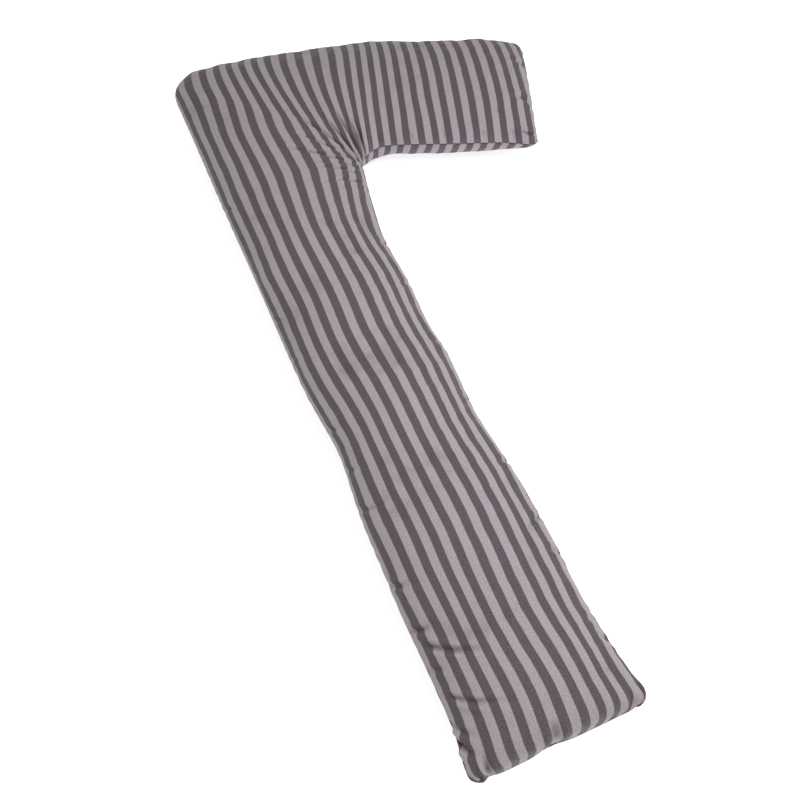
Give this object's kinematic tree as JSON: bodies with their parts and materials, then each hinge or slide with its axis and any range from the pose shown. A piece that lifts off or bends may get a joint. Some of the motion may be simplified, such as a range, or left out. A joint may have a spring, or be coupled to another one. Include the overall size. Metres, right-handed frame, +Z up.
{
  "type": "nursing pillow",
  "caption": "Seven-shaped nursing and body pillow lying flat, with a striped zipped cover over a sewn inner case full of loose fibre.",
  "frame": {"origin": "under the centre of the pillow's bounding box, on the floor it lies on", "axes": "+Y up the long arm towards the outer corner, +X towards the tip of the short arm, +Z up"},
  "size_m": [0.76, 1.4992, 0.165],
  "materials": {
    "striped_cover": "matt woven cotton with yarn-dyed stripes in two mauve greys",
    "cover_thread": "dark grey polyester sewing thread",
    "case_cloth": "plain undyed lining cloth",
    "case_thread": "white sewing thread",
    "fibre": "loose hollow polyester fibre",
    "zip_tape": "woven polyester zip tape",
    "zip_chain": "dark nylon teeth",
    "zip_metal": "crimped metal",
    "zip_slider": "dark grey painted zinc"
  },
  "bodies": {
    "pillow": {"cover_top_panel": "striped_cover", "cover_bottom_panel": "striped_cover", "cover_seam_thread": "cover_thread", "inner_case_top": "case_cloth", "inner_case_bottom": "case_cloth", "inner_case_seam_thread": "case_thread", "inner_case_closing_stitch": "case_thread", "fibre_fill": "fibre", "zip_tape_upper": "zip_tape", "zip_tape_lower": "zip_tape", "zip_stitch_upper": "cover_thread", "zip_stitch_lower": "cover_thread", "zip_chain_upper": "zip_chain", "zip_chain_lower": "zip_chain", "zip_top_stop_upper": "zip_metal", "zip_top_stop_lower": "zip_metal", "zip_bottom_stop": "zip_metal"},
    "slider": {"zip_slider_body": "zip_slider"},
    "pull": {"zip_pull_tab": "zip_slider"}
  },
  "joints": [
    {"name": "zip_slide", "type": "slide", "parent": "pillow", "child": "slider", "axis": [0, -1, 0], "range_m": [0, 0.378]},
    {"name": "pull_swing", "type": "hinge", "parent": "slider", "child": "pull", "pos_m": [-0.37467, 0.27987, 0.075], "axis": [0, 0, -1], "range_deg": [0, 165]}
  ]
}
